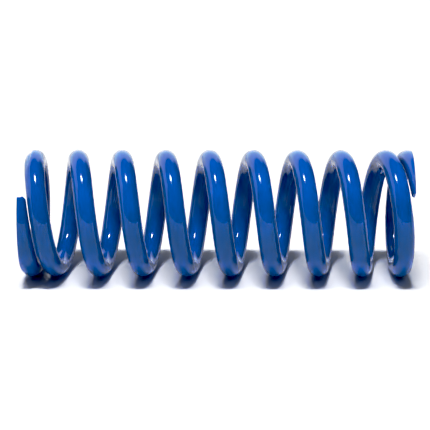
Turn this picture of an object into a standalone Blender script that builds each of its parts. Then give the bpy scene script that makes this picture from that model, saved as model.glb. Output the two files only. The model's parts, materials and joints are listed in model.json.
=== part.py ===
"""Coil-over suspension spring with closed and ground ends, lying on its side.

The spring is one wound wire.  It is built as successive lengths of that wire: a closed end coil
at each side and quarter coils between them, so that the active coils can move towards each other.
Metres, +Z up.  The coil's axis runs along X, and the spring rests on the plane z = 0.
"""
import math

import bmesh
import bpy
from mathutils import Matrix, Vector

# Driving dimensions of the wire and its winding
WIRE_DIAMETER = 0.0145
BORE_DIAMETER = 0.0635
TOTAL_TURNS = 10
ACTIVE_PITCH = 0.0318
TIP_ANGLE = math.radians(144)        # where the wire starts, turned about X from the back (+Y)

# Each end: what the grinding leaves of the wire at its tip, the clearance between the tip and
# the next turn, where the lead opens up (in turns from the tip), how far the end coil leans,
# and how much further than straight the first part of the wire nests into the next turn
LEFT_END = {
    "tip_thickness": 0.0052, "tip_clearance": 0.0008, "opening_turn": 0.87,
    "lean": 0.0028, "nesting": 0.0026,
}
RIGHT_END = {
    "tip_thickness": 0.0027, "tip_clearance": 0.0010, "opening_turn": 0.85,
    "lean": 0.0040, "nesting": 0.0024,
}
OPENING_WIDTH = 0.26                 # turns over which the closed lead grows to the active pitch
LEAN_FADE = 2.0                      # turns over which the end coil's lean dies out
NESTING_LENGTH = 0.6                 # turns from the tip over which the wire nests
NESTING_SCALE = 27 / 4               # makes the nesting's largest value the one given

# How the wire is divided, and how fine its facets are
END_TURNS = 1.5                      # each closed end coil with its transition
STEPS_PER_TURN = 40
STEPS_PER_QUARTER = STEPS_PER_TURN // 4
WIRE_SIDES = 12
PIECE_GAP = 0.0003                   # clearance between neighbouring lengths at the bore
CUTTER_MARGIN = 0.01
SHARP_ANGLE = math.radians(40)

WIRE_RADIUS = WIRE_DIAMETER / 2
COIL_RADIUS = (BORE_DIAMETER + WIRE_DIAMETER) / 2
OUTER_RADIUS = COIL_RADIUS + WIRE_RADIUS
GAP_ANGLE = PIECE_GAP / (BORE_DIAMETER / 2)

COATING_BLUE = (0.004, 0.085, 0.36, 1.0)


def smooth_step(value):
    """0 below 0, 1 above 1, and a smooth rise between them."""
    value = min(max(value, 0.0), 1.0)
    return value * value * (3 - 2 * value)


def closed_lead(end):
    """Axial advance per turn in the closed coil, so that the tip clears the next turn."""
    tip_spacing = WIRE_DIAMETER + end["tip_clearance"]
    lean_change = end["lean"] * smooth_step(1 / LEAN_FADE)
    return ACTIVE_PITCH - (ACTIVE_PITCH + lean_change - tip_spacing) / end["opening_turn"]


def end_shift(turns, end):
    """How far the wire's centre lies inwards of the straight active helix, near one end."""
    missing = ACTIVE_PITCH - closed_lead(end)
    start = end["opening_turn"] - OPENING_WIDTH / 2
    part = min(max((turns - start) / OPENING_WIDTH, 0.0), 1.0)
    in_opening = (1 - part) - (0.5 - part ** 3 + part ** 4 / 2)
    closing = missing * (max(start - turns, 0.0) + OPENING_WIDTH * in_opening)
    nested = min(max(turns / NESTING_LENGTH, 0.0), 1.0)
    nesting = end["nesting"] * NESTING_SCALE * nested * (1 - nested) ** 2
    lean = end["lean"] * (1 - smooth_step(turns / LEAN_FADE)) * math.cos(2 * math.pi * turns)
    return closing + nesting - lean


def helix_x(turns):
    """Axial place of the wire's centre, with the middle of the winding at zero."""
    straight = ACTIVE_PITCH * (turns - TOTAL_TURNS / 2)
    return straight + end_shift(turns, LEFT_END) - end_shift(TOTAL_TURNS - turns, RIGHT_END)


LEFT_FACE = helix_x(0) + WIRE_RADIUS - LEFT_END["tip_thickness"]
RIGHT_FACE = helix_x(TOTAL_TURNS) - WIRE_RADIUS + RIGHT_END["tip_thickness"]
FREE_LENGTH = RIGHT_FACE - LEFT_FACE
MIDDLE_X = (RIGHT_FACE + LEFT_FACE) / 2


def wire_x(turns):
    """Axial place of the wire's centre, with the middle of the free length at zero."""
    return helix_x(turns) - MIDDLE_X


def coating():
    """Glossy blue powder coat."""
    material = bpy.data.materials.new("blue_powder_coat")
    material.use_nodes = True
    shader = material.node_tree.nodes["Principled BSDF"]
    shader.inputs["Base Color"].default_value = COATING_BLUE
    shader.inputs["Metallic"].default_value = 0.0
    shader.inputs["Roughness"].default_value = 0.12
    return material


def new_collection(name):
    collection = bpy.data.collections.new(name)
    bpy.context.scene.collection.children.link(collection)
    return collection


def wire_length(name, first_turn, last_turn, collection, material):
    """Sweep the wire's round section along the helix, cut by planes that hold the coil's axis."""
    steps = round((last_turn - first_turn) * STEPS_PER_TURN)
    trim_first = GAP_ANGLE / 2 if first_turn > 0 else 0.0
    trim_last = GAP_ANGLE / 2 if last_turn < TOTAL_TURNS else 0.0
    turns_list = [first_turn + (last_turn - first_turn) * step / steps for step in range(steps + 1)]
    turns_list[0] += trim_first / (2 * math.pi)
    turns_list[-1] -= trim_last / (2 * math.pi)
    mesh = bpy.data.meshes.new(name)
    body = bmesh.new()
    axis_point = Vector((0, 0, OUTER_RADIUS))
    section = bmesh.ops.create_circle(body, segments=WIRE_SIDES, radius=WIRE_RADIUS)
    # the section stands in the plane through the axis, with a corner on the outer surface
    place = (
        Matrix.Translation(axis_point + Vector((wire_x(turns_list[0]), 0, 0)))
        @ Matrix.Rotation(TIP_ANGLE + 2 * math.pi * turns_list[0], 4, "X")
        @ Matrix.Translation((0, COIL_RADIUS, 0))
    )
    bmesh.ops.transform(body, matrix=place, verts=section["verts"])
    front = list(body.edges)
    for before, after in zip(turns_list, turns_list[1:]):
        spun = bmesh.ops.spin(
            body, geom=front, cent=axis_point, axis=(1, 0, 0), steps=1,
            angle=2 * math.pi * (after - before),
            dvec=(wire_x(after) - wire_x(before), 0, 0),
        )
        front = [item for item in spun["geom_last"] if isinstance(item, bmesh.types.BMEdge)]
    open_rims = [edge for edge in body.edges if edge.is_boundary]
    bmesh.ops.holes_fill(body, edges=open_rims)
    bmesh.ops.recalc_face_normals(body, faces=body.faces)
    body.to_mesh(mesh)
    body.free()
    mesh.shade_smooth()
    mesh.set_sharp_from_angle(angle=SHARP_ANGLE)
    piece = bpy.data.objects.new(name, mesh)
    piece.data.materials.append(material)
    collection.objects.link(piece)
    return piece


def grind(piece, name, face_x, side, cutters):
    """Cut an end coil flat, square to the axis.  side is -1 at the left end and 1 at the right."""
    depth = ACTIVE_PITCH
    width = 2 * (OUTER_RADIUS + CUTTER_MARGIN)
    bpy.ops.mesh.primitive_cube_add(size=1, location=(face_x + side * depth / 2, 0, OUTER_RADIUS))
    cutter = bpy.context.active_object
    cutter.name = name
    cutter.scale = (depth, width, width)
    for owner in list(cutter.users_collection):
        owner.objects.unlink(cutter)
    cutters.objects.link(cutter)
    cutter.hide_render = True
    cutter.display_type = "WIRE"
    cut = piece.modifiers.new("ground_face", "BOOLEAN")
    cut.operation = "DIFFERENCE"
    cut.solver = "EXACT"
    cut.object = cutter


def build():
    for old in list(bpy.data.objects):
        bpy.data.objects.remove(old, do_unlink=True)
    parts = new_collection("coil_spring")
    cutters = new_collection("grinding_cutters")
    material = coating()

    left = wire_length("left_end_coil", 0, END_TURNS, parts, material)
    grind(left, "left_grinding", LEFT_FACE - MIDDLE_X, -1, cutters)
    active_turns = TOTAL_TURNS - 2 * END_TURNS
    quarters = round(active_turns * 4)
    for index in range(quarters):
        first = END_TURNS + index / 4
        wire_length(f"active_quarter_{index + 1:02d}", first, first + 1 / 4, parts, material)
    right = wire_length("right_end_coil", TOTAL_TURNS - END_TURNS, TOTAL_TURNS, parts, material)
    grind(right, "right_grinding", RIGHT_FACE - MIDDLE_X, 1, cutters)


build()
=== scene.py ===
"""A coil-over suspension spring: one thick round wire, wound, closed and ground flat at both ends, and
powder coated.

The wire is made in lengths that meet without a mark. Each active length is a quarter of a turn that spans
one joint of the frame.
"""

import json
import math

import bpy
import numpy as np
from mathutils import Matrix, Vector

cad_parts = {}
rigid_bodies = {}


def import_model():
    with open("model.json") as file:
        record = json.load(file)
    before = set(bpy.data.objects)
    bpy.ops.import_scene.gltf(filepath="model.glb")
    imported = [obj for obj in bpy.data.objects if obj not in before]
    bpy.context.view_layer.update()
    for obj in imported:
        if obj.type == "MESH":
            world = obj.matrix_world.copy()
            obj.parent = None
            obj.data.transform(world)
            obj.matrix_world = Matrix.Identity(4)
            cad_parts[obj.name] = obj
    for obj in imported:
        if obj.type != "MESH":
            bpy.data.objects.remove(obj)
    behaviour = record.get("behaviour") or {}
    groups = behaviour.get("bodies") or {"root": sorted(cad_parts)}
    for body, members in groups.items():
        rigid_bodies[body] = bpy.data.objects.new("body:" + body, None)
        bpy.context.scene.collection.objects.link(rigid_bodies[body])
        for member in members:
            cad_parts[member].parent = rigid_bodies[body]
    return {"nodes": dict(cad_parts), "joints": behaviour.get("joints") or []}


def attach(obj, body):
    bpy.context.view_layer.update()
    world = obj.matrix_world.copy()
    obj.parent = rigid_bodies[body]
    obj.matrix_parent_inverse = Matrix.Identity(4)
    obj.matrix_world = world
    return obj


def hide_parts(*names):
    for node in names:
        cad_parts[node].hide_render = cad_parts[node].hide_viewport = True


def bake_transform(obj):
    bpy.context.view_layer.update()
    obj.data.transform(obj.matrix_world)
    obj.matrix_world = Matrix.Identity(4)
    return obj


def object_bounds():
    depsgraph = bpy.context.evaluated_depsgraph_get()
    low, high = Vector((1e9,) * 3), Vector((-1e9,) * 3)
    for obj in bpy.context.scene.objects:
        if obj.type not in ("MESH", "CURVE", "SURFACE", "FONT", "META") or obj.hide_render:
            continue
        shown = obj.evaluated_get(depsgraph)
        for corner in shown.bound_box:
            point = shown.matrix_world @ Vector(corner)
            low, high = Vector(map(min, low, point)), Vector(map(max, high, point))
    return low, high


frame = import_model()
CAD_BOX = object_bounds()

bl_info = {
    "name": "Coil-over spring",
    "version": (1, 0, 0),
    "blender": (4, 5, 0),
    "location": "View3D > Sidebar > Spring",
    "description": "Winds, grinds and coats a coil-over suspension spring, and sets it on a studio floor",
    "category": "Add Mesh",
}

MM = 0.001

# What the frame gives: the outside diameter and how many quarter turns are active.
OUTER_DIAMETER = CAD_BOX[1][2] - CAD_BOX[0][2]
QUARTERS = sum(node.startswith("active_quarter_") for node in frame["nodes"])
END_TURNS = 1.5  # turns of wire in each end coil's body
OVERLAP = 0.125  # half a quarter turn: how far a length of wire reaches past its joint to each side

# How finely the wire is drawn.
SIDES = 64
RINGS_PER_TURN = 192
SHARP_ANGLE = math.radians(50)  # edges that turn more than this stay sharp
LINE_STRETCH = 40  # how much longer than wide the drawing lines are

# The ground seat faces, as corners of the wire's section counted from the middle of the seat.
FLAT_CORNERS = 6  # the corners up to this one lie on the flat
EDGE_CORNERS = 10  # the corners from there up to this one go round the flat's edge
EDGE_RADIUS = 0.45 * MM
LEAST_SPREAD = math.radians(12)
NARROWING = 2.0 * MM

# The coating's patterns.
FLOW_SIZE = 28 * MM
SPECKLE_SIZE = 1.6 * MM
GLOSS_RANGE = (0.035, 0.075)
MARK_TURN = math.radians(35)
MARK_DEPTH = 0.03 * MM
GRAIN_SIZE = 1.1 * MM
GRAIN_DEPTH = 0.25 * MM

# The sheared ends of the wire.
TIP_ROUNDING = 0.38 * MM
TIP_STEPS = 4
TIP_MARGIN = 0.6 * MM  # how far inside its rounded rim the torn face begins
TIP_FADE = 6.0 * MM  # how far along the wire the tearing pulls at it
TIP_NEARBY = 1.2  # in wire radii: points further along the axis than this belong to another turn
CROWN_HEIGHT = 3.8 * MM  # from the seat plane to the corner that stands out
CROWN_WIDTH = 1.1 * MM
INNER_PULL = 1.3  # how far the inside of the wire is drawn back, for each unit of burr

# The parts of the long key light over the spring: how far each leans to the left, and its share of the light.
KEY_SUNS = (
    (-0.04, 0.12), (0.0, 0.13), (0.04, 0.13), (0.08, 0.12),
    (0.12, 0.1), (0.17, 0.08), (0.23, 0.07), (0.29, 0.06),
)
KEY_SUN_WIDTH = math.radians(5)
SOFT_SHARE = 0.18
SOFT_WIDTH = math.radians(110)

# The lamps that show in the gloss of the coils: distance, width, depth and power.
LIGHT_TARGET = Vector((0, 0, 0.06))
LAMP_DIRECTION = Vector((-0.16, -0.17, 1))
LAMPS = {"key_lamp": (0.9, 0.22, 0.17, 3.2), "lamp_reflector": (0.92, 0.42, 0.36, 0.75)}

# The room. Its walls are given in degrees: heights over the horizon, and turns to the right of straight ahead.
FLOOR_SIDE = 14
FLOOR_DROP = 0.2 * MM
WALL_RADIUS = 6.8
WALL_TOP = (41, 49)
RIGHT_WALL = (145, 160)
LEFT_WALL = (-80, -66)
FLOOR_EDGE = (0, 1.5)
WALL_STRENGTH = 1.4

# The camera, and the black and white levels and tone curve of its view.
SENSOR_WIDTH = 36
VIEW_DEPTH = 50
BLACK_LEVEL = 0.018
WHITE_LEVEL = 0.87
TONE_POINTS = ((0.1, 0.07), (0.33, 0.235), (0.5, 0.46))


def smooth_step(value):
    value = min(max(value, 0.0), 1.0)
    return value * value * (3 - 2 * value)


def linear(code):
    """An sRGB hex colour such as "#0A4B9C" as linear RGBA."""
    parts = [int(code[i : i + 2], 16) / 255 for i in (1, 3, 5)]
    return [p / 12.92 if p <= 0.04045 else ((p + 0.055) / 1.055) ** 2.4 for p in parts] + [1.0]


class SpringSizes(bpy.types.PropertyGroup):
    """The spring's driving sizes"""

    wire_diameter: bpy.props.FloatProperty(
        name="Wire diameter", description="Diameter of the round wire", default=14.5 * MM, min=1 * MM,
        subtype="DISTANCE", unit="LENGTH",
    )
    active_pitch: bpy.props.FloatProperty(
        name="Active pitch", description="Advance of the wire in one active turn", default=31.8 * MM,
        subtype="DISTANCE", unit="LENGTH",
    )
    total_turns: bpy.props.FloatProperty(
        name="Total turns", description="Turns of the wire from tip to tip",
        default=QUARTERS / 4 + 2 * END_TURNS, min=3,
    )
    tip_angle: bpy.props.FloatProperty(
        name="Tip angle", description="Where the wire starts, round the axis from the back over the top",
        default=math.radians(144), subtype="ANGLE", unit="ROTATION",
    )
    opening_width: bpy.props.FloatProperty(
        name="Opening width", description="Turns over which a closed coil opens out to the active pitch",
        default=0.26,
    )
    nesting_length: bpy.props.FloatProperty(
        name="Nesting length", description="Turns from the tip over which the wire is pressed in", default=0.6
    )
    lean_fade: bpy.props.FloatProperty(
        name="Lean fade", description="Turns over which the lean of an end coil dies out", default=2.0
    )


class EndSizes(bpy.types.PropertyGroup):
    """The sizes of one closed and ground end coil"""

    tip_thickness: bpy.props.FloatProperty(
        name="Tip thickness", description="Thickness that grinding leaves at the wire's tip",
        default=5.2 * MM, subtype="DISTANCE", unit="LENGTH",
    )
    tip_clearance: bpy.props.FloatProperty(
        name="Tip clearance", description="Gap between the tip and the next turn",
        default=0.8 * MM, subtype="DISTANCE", unit="LENGTH",
    )
    opening_turn: bpy.props.FloatProperty(
        name="Opening turn",
        description="Where along the wire the closed coil opens out, in turns from the tip",
        default=0.87,
    )
    nesting: bpy.props.FloatProperty(
        name="Nesting", description="How far the wire behind the tip is pressed in against the next turn",
        default=2.6 * MM, subtype="DISTANCE", unit="LENGTH",
    )
    lean: bpy.props.FloatProperty(
        name="Lean", description="How far the end coil's plane leans to one side of the axis",
        default=2.8 * MM, subtype="DISTANCE", unit="LENGTH",
    )
    cut_rings: bpy.props.IntProperty(
        name="Cut back", description="How many of the wire's rings the shear takes off the tip",
        default=3, min=0,
    )
    burr: bpy.props.FloatProperty(
        name="Shear burr", description="How far the crown of the wire stands out at its sheared end",
        default=1.0 * MM, subtype="DISTANCE", unit="LENGTH",
    )


class CoatingLook(bpy.types.PropertyGroup):
    """The powder coating"""

    colour: bpy.props.FloatVectorProperty(
        name="Coating", description="Colour of the coating at its full thickness",
        default=linear("#006CBC"), size=4, subtype="COLOR", min=0, max=1,
    )
    deep_colour: bpy.props.FloatVectorProperty(
        name="Heavy coating", description="Colour where the coating has flowed thicker",
        default=linear("#0062AE"), size=4, subtype="COLOR", min=0, max=1,
    )
    edge_colour: bpy.props.FloatVectorProperty(
        name="Thin coating",
        description="Colour where the coating draws thin over an edge and steel shows through",
        default=linear("#123E70"), size=4, subtype="COLOR", min=0, max=1,
    )
    peel_size: bpy.props.FloatProperty(
        name="Orange peel", description="Distance between the waves of the coating's surface",
        default=2.6 * MM, subtype="DISTANCE", unit="LENGTH",
    )
    peel_depth: bpy.props.FloatProperty(
        name="Peel depth", description="Height of the waves of the coating's surface",
        default=0.0015 * MM, subtype="DISTANCE", unit="LENGTH",
    )
    line_spacing: bpy.props.FloatProperty(
        name="Drawing lines", description="Distance between the lines that drawing leaves along the wire",
        default=1.3 * MM, subtype="DISTANCE", unit="LENGTH",
    )
    line_depth: bpy.props.FloatProperty(
        name="Line depth", description="Depth of the drawing lines under the coating",
        default=0.002 * MM, subtype="DISTANCE", unit="LENGTH",
    )
    grind_spacing: bpy.props.FloatProperty(
        name="Grinding marks",
        description="Distance between the grinding marks under the coating of a seat face",
        default=0.5 * MM, subtype="DISTANCE", unit="LENGTH",
    )


class StudioLook(bpy.types.PropertyGroup):
    """The floor, light and camera"""

    floor_colour: bpy.props.FloatVectorProperty(
        name="Floor", description="Colour of the studio floor", default=linear("#F6F6F8"), size=4,
        subtype="COLOR", min=0, max=1,
    )
    key_strength: bpy.props.FloatProperty(
        name="Key light", description="Strength of the light that falls from above", default=3.5
    )
    key_tilt: bpy.props.FloatProperty(
        name="Key tilt", description="How far the key light stands in front of the upright",
        default=math.radians(15), subtype="ANGLE", unit="ROTATION",
    )
    fill_level: bpy.props.FloatProperty(
        name="Front fill", description="Brightness of the room where it has no white wall", default=0.01
    )
    lens: bpy.props.FloatProperty(
        name="Lens", description="Focal length of the camera's lens", default=166.25, subtype="DISTANCE_CAMERA"
    )
    camera_place: bpy.props.FloatVectorProperty(
        name="Camera place", description="Where the camera stands", default=(0.0063, -1.3844, 0.4573),
        size=3, subtype="TRANSLATION", unit="LENGTH",
    )
    camera_turn: bpy.props.FloatVectorProperty(
        name="Camera turn", description="The camera's turn to the right, its tilt down and its roll",
        default=(math.radians(-0.313), math.radians(16.582), math.radians(-0.014)), size=3, subtype="EULER",
    )


class SpringSettings(bpy.types.PropertyGroup):
    """Everything that the spring is made from"""

    sizes: bpy.props.PointerProperty(type=SpringSizes)
    left_end: bpy.props.PointerProperty(type=EndSizes)
    right_end: bpy.props.PointerProperty(type=EndSizes)
    coating: bpy.props.PointerProperty(type=CoatingLook)
    studio: bpy.props.PointerProperty(type=StudioLook)


# ---------------------------------------------------------------------------------------------------
# The line of the wire


class Helix:
    """The line that the wire's middle follows. A place along it is given in turns from the left tip."""

    def __init__(self, settings):
        self.sizes = settings.sizes
        self.left, self.right = settings.left_end, settings.right_end
        self.wire_radius = self.sizes.wire_diameter / 2
        self.coil_radius = OUTER_DIAMETER / 2 - self.wire_radius
        self.axis_height = CAD_BOX[0][2] + OUTER_DIAMETER / 2
        self.turns = self.sizes.total_turns
        left_face = self.raw_x(0) + self.wire_radius - self.left.tip_thickness
        right_face = self.raw_x(self.turns) - self.wire_radius + self.right.tip_thickness
        self.middle = (left_face + right_face) / 2
        self.faces = (left_face - self.middle, right_face - self.middle)

    def closed_lead(self, end):
        """Advance in a turn of a closed coil, which leaves the tip its clearance to the next turn."""
        tip_spacing = self.sizes.wire_diameter + end.tip_clearance
        lean_change = end.lean * smooth_step(1 / self.sizes.lean_fade)
        pitch = self.sizes.active_pitch
        return pitch - (pitch + lean_change - tip_spacing) / end.opening_turn

    def end_shift(self, turns, end):
        """How far the closing of an end coil draws the wire towards the middle, `turns` from its tip."""
        width = self.sizes.opening_width
        missing = self.sizes.active_pitch - self.closed_lead(end)
        start = end.opening_turn - width / 2
        part = min(max((turns - start) / width, 0.0), 1.0)
        in_opening = (1 - part) - (0.5 - part**3 + part**4 / 2)
        closing = missing * (max(start - turns, 0.0) + width * in_opening)
        fade = 1 - smooth_step(turns / self.sizes.lean_fade)
        nested = min(max(turns / self.sizes.nesting_length, 0.0), 1.0)
        pressed = end.nesting * 6.75 * nested * (1 - nested) ** 2  # 6.75 makes its greatest value 1
        return closing + pressed - end.lean * fade * math.cos(2 * math.pi * turns)

    def raw_x(self, turns):
        even = self.sizes.active_pitch * (turns - self.turns / 2)
        return even + self.end_shift(turns, self.left) - self.end_shift(self.turns - turns, self.right)

    def x(self, turns):
        return self.raw_x(turns) - self.middle

    def lead(self, turns):
        """Advance per turn at this place."""
        step = 1e-4
        return (self.raw_x(turns + step) - self.raw_x(turns - step)) / (2 * step)

    def angle(self, turns):
        return self.sizes.tip_angle + 2 * math.pi * turns

    def outward(self, turns):
        """Direction from the axis to the wire, as (y, z)."""
        return math.cos(self.angle(turns)), math.sin(self.angle(turns))


# ---------------------------------------------------------------------------------------------------
# Tools for shaping the wire


def select_only(piece):
    bpy.ops.object.select_all(action="DESELECT")
    piece.select_set(True)
    bpy.context.view_layer.objects.active = piece


def edit(*steps):
    """Runs mesh operators in edit mode on the active piece."""
    bpy.ops.object.mode_set(mode="EDIT")
    for operator, options in steps:
        operator(**options)
    bpy.ops.object.mode_set(mode="OBJECT")


def wind(helix, name, turns):
    """A length of wire of so many turns, wound at the active pitch from the back of the axis."""
    bpy.ops.object.select_all(action="DESELECT")
    bpy.ops.mesh.primitive_circle_add(
        vertices=SIDES, radius=helix.wire_radius, location=(0, helix.coil_radius, 0)
    )
    piece = bpy.context.active_object
    piece.name = piece.data.name = name
    bpy.ops.object.transform_apply(location=True, rotation=True, scale=True)
    bpy.ops.object.modifier_add(type="SCREW")
    screw = piece.modifiers[-1]
    screw.axis = "X"
    screw.angle = 2 * math.pi * turns
    screw.steps = screw.render_steps = round(turns * RINGS_PER_TURN)
    screw.screw_offset = helix.sizes.active_pitch * turns
    screw.use_smooth_shade = True
    bpy.ops.object.modifier_apply(modifier=screw.name)
    edit(
        (bpy.ops.mesh.select_all, {"action": "SELECT"}),
        (bpy.ops.mesh.fill_holes, {"sides": 0}),
        (bpy.ops.mesh.select_all, {"action": "SELECT"}),
        (bpy.ops.mesh.normals_make_consistent, {"inside": False}),
    )
    return piece


def place_on_helix(piece, helix, first):
    """Turns and moves a wound length so that it starts `first` turns from the left tip, in its mesh."""
    select_only(piece)
    piece.rotation_euler.x = helix.angle(first)
    piece.location = (helix.x(first), 0, helix.axis_height)
    bpy.ops.object.transform_apply(location=True, rotation=True, scale=True)


def points_of(piece):
    """The piece's vertices as an array, and that of the wound rings alone as a view of it, ring by ring."""
    points = np.empty(len(piece.data.vertices) * 3)
    piece.data.vertices.foreach_get("co", points)
    points = points.reshape(-1, 3)
    rings = len(points) // SIDES
    return points, points[: rings * SIDES].reshape(rings, SIDES, 3)


def store_points(piece, points):
    piece.data.vertices.foreach_set("co", points.ravel())
    piece.data.update()


def close_up(piece, helix, first):
    """Moves each ring along the axis, from the even pitch to where the closing of the end coils draws it."""
    points, rings = points_of(piece)
    for number, ring in enumerate(rings):
        along = number / RINGS_PER_TURN
        ring[:, 0] += helix.x(first + along) - helix.x(first) - helix.sizes.active_pitch * along
    store_points(piece, points)


def finish_shading(piece, helix, ends):
    """Smooth shading with sharp cut ends. Where a length meets the next one, its outermost ring gets the
    wire's exact normals, so that reflections run on without a break."""
    select_only(piece)
    bpy.ops.object.shade_smooth_by_angle(angle=SHARP_ANGLE)
    mesh = piece.data
    exact = np.zeros((len(mesh.vertices), 3))
    rings = points_of(piece)[1]
    middle = np.array([0, 0, helix.axis_height])
    for place, ring_number in ends:
        out_y, out_z = helix.outward(place)
        for side, point in enumerate(rings[ring_number] - middle - [helix.x(place), 0, 0]):
            radial = point[1] * out_y + point[2] * out_z
            across, outwards = point[0] / helix.wire_radius, (radial - helix.coil_radius) / helix.wire_radius
            reach = 2 * math.pi * radial
            round_axis = -helix.lead(place) * across
            normal = Vector((
                across * reach,
                outwards * reach * out_y - round_axis * out_z,
                outwards * reach * out_z + round_axis * out_y,
            )).normalized()
            exact[ring_number % len(rings) * SIDES + side] = normal
    normals = np.zeros((len(mesh.loops), 3))
    for face in mesh.polygons:
        if face.loop_total == 4:
            for loop in face.loop_indices:
                normals[loop] = exact[mesh.loops[loop].vertex_index]
    mesh.normals_split_custom_set(normals)


# ---------------------------------------------------------------------------------------------------
# Finishes


def add_node(tree, kind, settings=None, values=None, links=None):
    """Adds a shader node: settings are its own, values go on its sockets and links join outputs to them."""
    node = tree.nodes.new(kind)
    for name, value in (settings or {}).items():
        setattr(node, name, value)
    for socket, value in (values or {}).items():
        node.inputs[socket].default_value = value
    for socket, output in (links or {}).items():
        tree.links.new(output, node.inputs[socket])
    return node


def new_material(name):
    material = bpy.data.materials.new(name)
    material.use_nodes = True
    material.node_tree.nodes.clear()
    return material, material.node_tree


def powder_coating(look):
    """Gloss polyester powder coating, baked on spring steel. The powder melts into a thick glassy skin with a
    slight orange peel. It flows a little heavier in places, draws thin over the edges of the ground seats, and
    the grinding marks under it still show on them."""
    name = "gloss_blue_powder_coating"
    if name in bpy.data.materials:
        return bpy.data.materials[name]
    material, tree = new_material(name)
    place = add_node(tree, "ShaderNodeTexCoord").outputs["Object"]
    # Flow of the melted powder: broad, soft patches a few centimetres wide.
    flow = add_node(
        tree, "ShaderNodeTexNoise", values={"Scale": 1 / FLOW_SIZE, "Detail": 2.0, "Roughness": 0.55},
        links={"Vector": place},
    ).outputs["Fac"]
    patches = add_node(
        tree, "ShaderNodeMapRange", values={"From Min": 0.35, "From Max": 0.65}, links={"Value": flow}
    ).outputs["Result"]
    # Lines along the wire, left by drawing it through the die, which the coating follows softly. They are drawn
    # wider apart than the real ones, which are too fine to show.
    wire_place = add_node(tree, "ShaderNodeAttribute", {"attribute_name": "wire_place"}).outputs["Vector"]
    drawn = add_node(
        tree, "ShaderNodeTexNoise", values={"Scale": 1 / look.line_spacing, "Detail": 2.0, "Roughness": 0.5},
        links={"Vector": wire_place},
    ).outputs["Fac"]
    heavy = add_node(
        tree, "ShaderNodeMath", {"operation": "MULTIPLY_ADD"}, {1: 0.45}, {0: drawn, 2: patches}
    ).outputs["Value"]
    body = add_node(
        tree, "ShaderNodeMix", {"data_type": "RGBA"}, {6: look.colour, 7: look.deep_colour}, {0: heavy}
    ).outputs[2]
    # Thin coating over the edges, broken up so that the line isn't even.
    edge = add_node(tree, "ShaderNodeAttribute", {"attribute_name": "edge"}).outputs["Fac"]
    speckle = add_node(
        tree, "ShaderNodeTexNoise", values={"Scale": 1 / SPECKLE_SIZE, "Detail": 3.0}, links={"Vector": place}
    ).outputs["Fac"]
    thin = add_node(
        tree, "ShaderNodeMath", {"operation": "MULTIPLY"}, links={0: edge, 1: speckle}
    ).outputs["Value"]
    colour = add_node(
        tree, "ShaderNodeMix", {"data_type": "RGBA"}, {7: look.edge_colour}, {0: thin, 6: body}
    ).outputs[2]
    gloss = add_node(
        tree, "ShaderNodeMapRange", values={"To Min": GLOSS_RANGE[0], "To Max": GLOSS_RANGE[1]},
        links={"Value": flow},
    ).outputs["Result"]
    # Orange peel: waves a few millimetres apart and a few thousandths high.
    peel = add_node(
        tree, "ShaderNodeTexNoise", values={"Scale": 1 / look.peel_size, "Detail": 1.0, "Roughness": 0.4},
        links={"Vector": place},
    ).outputs["Fac"]
    lined = add_node(
        tree, "ShaderNodeBump", values={"Strength": 1.0, "Distance": look.line_depth}, links={"Height": drawn}
    ).outputs["Normal"]
    peeled = add_node(
        tree, "ShaderNodeBump", values={"Strength": 1.0, "Distance": look.peel_depth},
        links={"Height": peel, "Normal": lined},
    ).outputs["Normal"]
    # Grinding marks: long straight scratches across the seat faces, rounded off by the coating, and drawn
    # coarser than the grit's own so that they show.
    ground = add_node(tree, "ShaderNodeAttribute", {"attribute_name": "ground"}).outputs["Fac"]
    stretched = add_node(
        tree, "ShaderNodeMapping",
        values={"Rotation": (MARK_TURN, 0, 0), "Scale": (1, 1, 0.02)}, links={"Vector": place},
    ).outputs["Vector"]
    scratches = add_node(
        tree, "ShaderNodeTexNoise", values={"Scale": 1 / look.grind_spacing, "Detail": 3.0, "Roughness": 0.6},
        links={"Vector": stretched},
    ).outputs["Fac"]
    marks = add_node(
        tree, "ShaderNodeMath", {"operation": "MULTIPLY"}, links={0: ground, 1: scratches}
    ).outputs["Value"]
    scratched = add_node(
        tree, "ShaderNodeBump", values={"Strength": 1.0, "Distance": MARK_DEPTH},
        links={"Height": marks, "Normal": peeled},
    ).outputs["Normal"]
    # The sheared ends: the coarse grain of torn steel, softened by the coating.
    torn = add_node(tree, "ShaderNodeAttribute", {"attribute_name": "sheared"}).outputs["Fac"]
    grain = add_node(
        tree, "ShaderNodeTexNoise", values={"Scale": 1 / GRAIN_SIZE, "Detail": 4.0, "Roughness": 0.65},
        links={"Vector": place},
    ).outputs["Fac"]
    tearing = add_node(
        tree, "ShaderNodeMath", {"operation": "MULTIPLY"}, links={0: torn, 1: grain}
    ).outputs["Value"]
    surface = add_node(
        tree, "ShaderNodeBump", values={"Strength": 1.0, "Distance": GRAIN_DEPTH},
        links={"Height": tearing, "Normal": scratched},
    ).outputs["Normal"]
    coat = add_node(
        tree, "ShaderNodeBsdfPrincipled", values={"IOR": 1.5, "Metallic": 0.0},
        links={"Base Color": colour, "Roughness": gloss, "Normal": surface},
    )
    add_node(tree, "ShaderNodeOutputMaterial", links={"Surface": coat.outputs["BSDF"]})
    return material


def plain_material(name, colour, strength=None):
    """A plain studio surface: matt, or shining by itself where a strength is given."""
    material, tree = new_material(name)
    if strength is None:
        surface = add_node(tree, "ShaderNodeBsdfDiffuse", values={"Color": colour, "Roughness": 0.0})
    else:
        surface = add_node(tree, "ShaderNodeEmission", values={"Color": colour, "Strength": strength})
    add_node(tree, "ShaderNodeOutputMaterial", links={"Surface": surface.outputs[0]})
    return material


def coat(piece, settings):
    piece.data.materials.clear()
    piece.data.materials.append(powder_coating(settings.coating))


def store_mask(piece, name, values):
    attribute = piece.data.attributes.new(name, "FLOAT", "POINT")
    attribute.data.foreach_set("value", np.asarray(values, dtype=np.float32))


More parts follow.
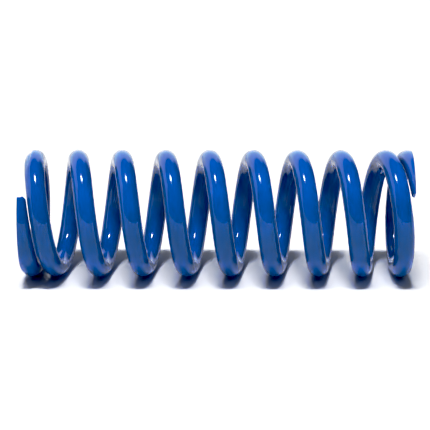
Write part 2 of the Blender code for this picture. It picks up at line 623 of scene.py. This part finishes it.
def store_wire_place(piece, helix, first, rings):
    """Stores where each point lies on the wire: round its section, and along it, drawn together so that a
    pattern comes out as long lines."""
    places = np.zeros((len(piece.data.vertices), 3))
    for number in range(rings):
        along = 2 * math.pi * helix.coil_radius * (first + number / RINGS_PER_TURN) / LINE_STRETCH
        for side in range(SIDES):
            turn = 2 * math.pi * side / SIDES
            places[number * SIDES + side] = (
                helix.wire_radius * math.cos(turn), helix.wire_radius * math.sin(turn), along
            )
    attribute = piece.data.attributes.new("wire_place", "FLOAT_VECTOR", "POINT")
    attribute.data.foreach_set("vector", places.astype(np.float32).ravel())


# ---------------------------------------------------------------------------------------------------
# The pieces


class SPRING_OT_active_coils(bpy.types.Operator):
    """Makes the active coils: a quarter turn of wire, wound once and copied over each joint of the frame"""

    bl_idname = "spring.active_coils"
    bl_label = "Active coils"

    def execute(self, context):
        settings = context.scene.coil_spring
        helix = Helix(settings)
        pattern = wind(helix, "wire_pattern", 2 * OVERLAP)
        bodies = ["left_end"] + [f"quarter_{n:02d}" for n in range(1, QUARTERS + 1)] + ["right_end"]
        joined = {frozenset((joint["parent"], joint["child"])) for joint in frame["joints"]}
        for number in range(QUARTERS + 1):
            middle = END_TURNS + number / 4
            first, last = middle - OVERLAP, middle + OVERLAP
            piece = pattern.copy()
            piece.data = pattern.data.copy()
            piece.name = piece.data.name = f"wire_{number + 1:02d}"
            context.collection.objects.link(piece)
            place_on_helix(piece, helix, first)
            close_up(piece, helix, first)
            store_wire_place(piece, helix, first, len(points_of(piece)[1]))
            finish_shading(piece, helix, [(first, 0), (last, -1)])
            coat(piece, settings)
            before, after = bodies[number], bodies[number + 1]
            if frozenset((before, after)) in joined:
                out_y, out_z = helix.outward(middle)
                reach = (helix.coil_radius - helix.wire_radius) * math.sin(2 * math.pi * OVERLAP)
                axis_y, axis_z = -out_z * reach, out_y * reach
                start = (helix.x(middle), -axis_y, helix.axis_height - axis_z)
                end = (helix.x(middle), axis_y, helix.axis_height + axis_z)
                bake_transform(piece)
            else:
                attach(piece, after)
            if number < QUARTERS:
                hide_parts(f"active_quarter_{number + 1:02d}")
        bpy.data.objects.remove(pattern)
        return {"FINISHED"}


def ground_section(height, radius):
    """The wire's section beside a seat plane that lies `height` from its middle. For each corner, from the
    middle of the seat side to the far side: its place (towards the seat, sideways), and whether it is on the
    flat and on the edge."""
    half = SIDES // 2
    even = EDGE_CORNERS * math.pi / half
    middle = min(max((height - EDGE_RADIUS) / (radius - EDGE_RADIUS), -1.0), 1.0)
    cut = math.acos(middle)
    spread = max(cut, LEAST_SPREAD + (even - LEAST_SPREAD) * smooth_step((height - radius) / NARROWING))
    corners = []
    for corner in range(half + 1):
        if corner > EDGE_CORNERS:
            turn = spread + (math.pi - spread) * (corner - EDGE_CORNERS) / (half - EDGE_CORNERS)
            corners.append((radius * math.cos(turn), radius * math.sin(turn), 0.0, 0.0))
        elif cut < LEAST_SPREAD:
            turn = spread * corner / EDGE_CORNERS
            towards = radius * math.cos(turn)
            corners.append((min(towards, height), radius * math.sin(turn), float(towards > height), 0.0))
        elif corner <= FLAT_CORNERS:
            flat = (radius - EDGE_RADIUS) * math.sin(cut)
            corners.append((height, flat * corner / FLAT_CORNERS, 1.0, float(corner == FLAT_CORNERS)))
        else:
            turn = cut * (corner - FLAT_CORNERS) / (EDGE_CORNERS - FLAT_CORNERS)
            flat = (radius - EDGE_RADIUS) * math.sin(cut)
            towards = height - EDGE_RADIUS * (1 - math.cos(turn))
            corners.append((towards, flat + EDGE_RADIUS * math.sin(turn), 0.0, float(corner < EDGE_CORNERS)))
    return corners


def grind_seat(piece, helix, first, side):
    """Grinds the seat face and returns its flat and edge masks. side is -1 at the left end, 1 at the right."""
    points, rings = points_of(piece)
    ground, edge = np.zeros(len(points)), np.zeros(len(points))
    face = helix.faces[0] if side < 0 else helix.faces[1]
    for number, ring in enumerate(rings):
        place = first + number / RINGS_PER_TURN
        height = abs(face - helix.x(place))
        if (helix.x(place) - face) * side > 0:
            height = -height
        corners = ground_section(height, helix.wire_radius)
        out_y, out_z = helix.outward(place)
        for corner in range(SIDES):
            turn = 2 * math.pi * corner / SIDES
            across, outwards = -math.sin(turn), math.cos(turn)
            # How far this corner lies round the section from the side that faces the seat.
            from_seat = math.acos(min(max(across * side, -1.0), 1.0))
            towards, sideways, flat_share, edge_share = corners[round(from_seat * SIDES / (2 * math.pi))]
            radial = helix.coil_radius + math.copysign(sideways, outwards)
            ring[corner] = (
                helix.x(place) + towards * side,
                radial * out_y,
                helix.axis_height + radial * out_z,
            )
            ground[number * SIDES + corner] = flat_share
            edge[number * SIDES + corner] = edge_share
    store_points(piece, points)
    return ground, edge


def shape_tip(piece, helix, tip, side, burr):
    """Rounds the rim of the wire's sheared end and leaves its face uneven. tip is the tip's place in turns."""
    select_only(piece)
    out_y, out_z = helix.outward(tip)
    inward = Vector((0, out_z, -out_y)) * side  # against the way that the wire ends
    tip_faces = [
        face for face in piece.data.polygons
        if face.loop_total > 4 and face.normal.dot(inward) < -0.5
    ]
    for element in (piece.data.vertices, piece.data.edges, piece.data.polygons):
        element.foreach_set("select", [False] * len(element))
    for face in tip_faces:
        face.select = True
    rim = []
    for step in range(TIP_STEPS):
        before, after = (math.pi / 2 * n / TIP_STEPS for n in (step, step + 1))
        rim.append((bpy.ops.mesh.inset, {
            "thickness": TIP_ROUNDING * (math.cos(before) - math.cos(after)),
            "depth": TIP_ROUNDING * (math.sin(after) - math.sin(before)),
            "use_even_offset": True,
        }))
    rim.append((bpy.ops.mesh.inset, {"thickness": TIP_MARGIN, "depth": 0.0}))
    rim.append((bpy.ops.mesh.poke, {}))
    edit(*rim)
    points, _ = points_of(piece)
    face = helix.faces[0] if side < 0 else helix.faces[1]
    torn = np.zeros(len(points))
    for number, (x, y, z) in enumerate(points):
        lift = z - helix.axis_height
        radial = y * out_y + lift * out_z
        along = (y * out_z - lift * out_y) * side  # back from the tip, along the wire
        if radial < 0 or along > TIP_FADE:
            continue
        from_face = abs(x - face)
        if abs(x - helix.x(tip)) > helix.wire_radius * TIP_NEARBY:
            continue
        fade = 1 - smooth_step(max(along, 0.0) / TIP_FADE)
        crown = math.exp(-(((from_face - CROWN_HEIGHT) / CROWN_WIDTH) ** 2)) * burr
        inner = smooth_step((helix.coil_radius - radial) / helix.wire_radius) * INNER_PULL * burr
        push = fade * (crown * smooth_step((radial - helix.coil_radius) / helix.wire_radius + 0.5) - inner)
        points[number] = (x, y - out_z * side * push, z + out_y * side * push)
        torn[number] = 1.0 if along < -TIP_ROUNDING * 0.8 else 0.0
    store_points(piece, points)
    return torn


def make_end(context, name, side):
    """An end coil, closed and ground flat: side is -1 for the left end and 1 for the right."""
    settings = context.scene.coil_spring
    helix = Helix(settings)
    end = settings.left_end if side < 0 else settings.right_end
    length = END_TURNS - OVERLAP - end.cut_rings / RINGS_PER_TURN
    first = end.cut_rings / RINGS_PER_TURN if side < 0 else helix.turns - END_TURNS + OVERLAP
    last = first + length
    piece = wind(helix, name, length)
    place_on_helix(piece, helix, first)
    close_up(piece, helix, first)
    ground, edge = grind_seat(piece, helix, first, side)
    torn = shape_tip(piece, helix, first if side < 0 else last, side, end.burr)
    extra = len(piece.data.vertices) - len(ground)
    store_mask(piece, "ground", np.append(ground, np.zeros(extra)))
    store_mask(piece, "edge", np.append(edge, np.zeros(extra)))
    store_mask(piece, "sheared", torn)
    store_wire_place(piece, helix, first, round(length * RINGS_PER_TURN) + 1)
    joint = (last, round(length * RINGS_PER_TURN)) if side < 0 else (first, 0)
    finish_shading(piece, helix, [joint])
    coat(piece, settings)
    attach(piece, "left_end" if side < 0 else "right_end")
    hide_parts("left_end_coil" if side < 0 else "right_end_coil")
    return piece


class SPRING_OT_left_end(bpy.types.Operator):
    """Makes the left end coil, closed against the next turn and ground flat for its seat"""

    bl_idname = "spring.left_end"
    bl_label = "Left end coil"

    def execute(self, context):
        make_end(context, "left_end_wire", -1)
        return {"FINISHED"}


class SPRING_OT_right_end(bpy.types.Operator):
    """Makes the right end coil, closed against the next turn and ground to a thin tip"""

    bl_idname = "spring.right_end"
    bl_label = "Right end coil"

    def execute(self, context):
        make_end(context, "right_end_wire", 1)
        return {"FINISHED"}


# ---------------------------------------------------------------------------------------------------
# The studio


def lay_floor(material):
    """The studio floor, just under the spring, sized and placed in its mesh."""
    bpy.ops.object.select_all(action="DESELECT")
    bpy.ops.mesh.primitive_grid_add(x_subdivisions=4, y_subdivisions=4, size=1)
    floor = bpy.context.active_object
    floor.name = floor.data.name = "floor"
    floor.scale = (FLOOR_SIDE, FLOOR_SIDE, 1)
    floor.location = (0, 0, -FLOOR_DROP)
    bpy.ops.object.transform_apply(location=True, rotation=True, scale=True)
    floor.data.materials.append(material)


def show_only_to(made, *rays):
    """Lets a studio card be seen by only these kinds of ray. It casts no shadow."""
    made.visible_shadow = False
    for ray in ("camera", "diffuse", "glossy", "transmission", "volume_scatter"):
        setattr(made, f"visible_{ray}", ray in rays)


def aim(light, target):
    light.rotation_euler = (Vector(target) - light.location).to_track_quat("-Z", "Y").to_euler()


def add_light(kind, name, location, target):
    bpy.ops.object.light_add(type=kind, location=location)
    light = bpy.context.active_object
    light.name = light.data.name = name
    aim(light, target)
    return light


class SPRING_OT_stage(bpy.types.Operator):
    """Sets up the floor, the studio light and the camera"""

    bl_idname = "spring.stage"
    bl_label = "Studio"

    def build_room(self, scene, studio):
        """A dark room, with white walls behind the spring and to its sides and a white floor all round."""
        world = bpy.data.worlds.new("studio_room")
        scene.world = world
        world.use_nodes = True
        tree = world.node_tree
        tree.nodes.clear()
        direction = add_node(tree, "ShaderNodeTexCoord").outputs["Generated"]
        sides = add_node(tree, "ShaderNodeSeparateXYZ", links={"Vector": direction}).outputs
        height = add_node(
            tree, "ShaderNodeMath", {"operation": "ARCSINE"}, links={0: sides["Z"]}
        ).outputs[0]
        ahead = add_node(
            tree, "ShaderNodeMath", {"operation": "MULTIPLY"}, {1: -1.0}, {0: sides["Y"]}
        ).outputs[0]
        to_right = add_node(
            tree, "ShaderNodeMath", {"operation": "ARCTAN2"}, links={0: sides["X"], 1: ahead}
        ).outputs[0]

        # Each part of the room is soft at its edge, between the two angles given for it.
        parts = []
        for value, edges, low, high in (
            (to_right, RIGHT_WALL, 0.0, 1.0), (to_right, LEFT_WALL, 1.0, 0.0),
            (height, WALL_TOP, 1.0, 0.0), (height, FLOOR_EDGE, 1.0, 0.0),
        ):
            start, end = (math.radians(angle) for angle in edges)
            parts.append(add_node(
                tree, "ShaderNodeMapRange", {"interpolation_type": "SMOOTHSTEP"},
                {"From Min": start, "From Max": end, "To Min": low, "To Max": high}, {"Value": value},
            ).outputs["Result"])
        right_wall, left_wall, wall_top, floor_edge = parts
        wall_end = add_node(
            tree, "ShaderNodeMath", {"operation": "MAXIMUM"}, links={0: right_wall, 1: left_wall}
        ).outputs[0]
        wall = add_node(
            tree, "ShaderNodeMath", {"operation": "MULTIPLY"}, links={0: wall_top, 1: wall_end}
        ).outputs[0]
        white = add_node(
            tree, "ShaderNodeMath", {"operation": "MAXIMUM"}, links={0: wall, 1: floor_edge}
        ).outputs[0]
        level = add_node(
            tree, "ShaderNodeMapRange", values={"To Min": studio.fill_level, "To Max": WALL_STRENGTH},
            links={"Value": white},
        ).outputs["Result"]
        room = add_node(
            tree, "ShaderNodeBackground", values={"Color": linear("#FFFFFF")}, links={"Strength": level}
        )
        add_node(tree, "ShaderNodeOutputWorld", links={"Surface": room.outputs["Background"]})
        # The room shows in the gloss but doesn't light the floor, so the shadows stay deep.
        world.cycles_visibility.diffuse = False

    def execute(self, context):
        studio = context.scene.coil_spring.studio
        scene = context.scene
        scene.view_settings.view_transform = "Standard"
        scene.view_settings.use_curve_mapping = True
        mapping = scene.view_settings.curve_mapping
        mapping.black_level = (BLACK_LEVEL,) * 3
        mapping.white_level = (WHITE_LEVEL,) * 3
        tone = mapping.curves[3]  # the curve for all three colours together
        for point in TONE_POINTS:
            tone.points.new(*point)
        mapping.update()
        white = plain_material("backdrop_white", linear("#FFFFFF"), 1.0)
        floor_paint = plain_material("matt_floor", studio.floor_colour)
        lay_floor(floor_paint)
        # White walls all round, seen by the camera alone.
        bpy.ops.object.select_all(action="DESELECT")
        bpy.ops.mesh.primitive_uv_sphere_add(segments=48, ring_count=24, radius=WALL_RADIUS)
        walls = context.active_object
        walls.name = walls.data.name = "walls"
        walls.data.materials.append(white)
        show_only_to(walls, "camera")
        # The key light, almost overhead: suns give its even light and its shadows, and the lamps show in
        # the gloss of the coils.
        soft = add_light("SUN", "soft_top_light", LIGHT_TARGET + Vector((0, 0, 1)), LIGHT_TARGET)
        soft.data.energy = studio.key_strength * SOFT_SHARE
        soft.data.angle = SOFT_WIDTH
        soft.visible_glossy = False
        for number, (lean, share) in enumerate(KEY_SUNS):
            direction = Vector((-lean, -math.tan(studio.key_tilt), 1)).normalized()
            sun = add_light("SUN", f"key_sun_{number + 1}", LIGHT_TARGET + direction, LIGHT_TARGET)
            sun.data.energy = studio.key_strength * share
            sun.data.angle = KEY_SUN_WIDTH
            sun.visible_glossy = False
        direction = LAMP_DIRECTION.normalized()
        for name, (distance, width, depth, power) in LAMPS.items():
            lamp = add_light("AREA", name, LIGHT_TARGET + direction * distance, LIGHT_TARGET)
            lamp.data.shape = "ELLIPSE"
            lamp.data.size, lamp.data.size_y = width, depth
            lamp.data.energy = power
            lamp.visible_diffuse = False
            lamp.visible_camera = False
        self.build_room(scene, studio)
        # The camera.
        yaw, pitch, roll = studio.camera_turn
        right_way = Vector((math.cos(yaw), -math.sin(yaw), 0))
        ahead = Vector((math.sin(yaw) * math.cos(pitch), math.cos(yaw) * math.cos(pitch), -math.sin(pitch)))
        up_way = right_way.cross(ahead)
        rolled_right = right_way * math.cos(roll) + up_way * math.sin(roll)
        rolled_up = up_way * math.cos(roll) - right_way * math.sin(roll)
        camera_data = bpy.data.cameras.new("camera")
        camera = bpy.data.objects.new("camera", camera_data)
        context.collection.objects.link(camera)
        camera_data.lens = studio.lens
        camera_data.sensor_width = SENSOR_WIDTH
        camera_data.clip_end = VIEW_DEPTH
        camera.matrix_world = Matrix.Translation(studio.camera_place) @ Matrix(
            (rolled_right, rolled_up, -ahead)
        ).transposed().to_4x4()
        scene.camera = camera
        return {"FINISHED"}


class SPRING_PT_panel(bpy.types.Panel):
    """Lists the spring's pieces and sizes"""

    bl_idname = "SPRING_PT_panel"
    bl_label = "Coil-over spring"
    bl_space_type = "VIEW_3D"
    bl_region_type = "UI"
    bl_category = "Spring"

    def draw(self, context):
        for operator in OPERATORS:
            self.layout.operator(operator.bl_idname)
        settings = context.scene.coil_spring
        for group in (settings.sizes, settings.left_end, settings.right_end, settings.coating, settings.studio):
            box = self.layout.box()
            for name in group.bl_rna.properties.keys():
                if name not in ("rna_type", "name"):
                    box.prop(group, name)


OPERATORS = (SPRING_OT_active_coils, SPRING_OT_left_end, SPRING_OT_right_end, SPRING_OT_stage)
CLASSES = (SpringSizes, EndSizes, CoatingLook, StudioLook, SpringSettings, *OPERATORS, SPRING_PT_panel)


def register():
    for kind in CLASSES:
        bpy.utils.register_class(kind)
    bpy.types.Scene.coil_spring = bpy.props.PointerProperty(type=SpringSettings)


def unregister():
    del bpy.types.Scene.coil_spring
    for kind in reversed(CLASSES):
        bpy.utils.unregister_class(kind)


def main():
    register()
    right = bpy.context.scene.coil_spring.right_end
    right.tip_thickness = 2.7 * MM
    right.tip_clearance = 1.0 * MM
    right.opening_turn = 0.85
    right.lean = 4.0 * MM
    right.nesting = 2.4 * MM
    right.burr = 0.3 * MM
    right.cut_rings = 0
    bpy.ops.spring.active_coils()
    bpy.ops.spring.left_end()
    bpy.ops.spring.right_end()
    bpy.ops.spring.stage()


if __name__ == "__main__":
    main()
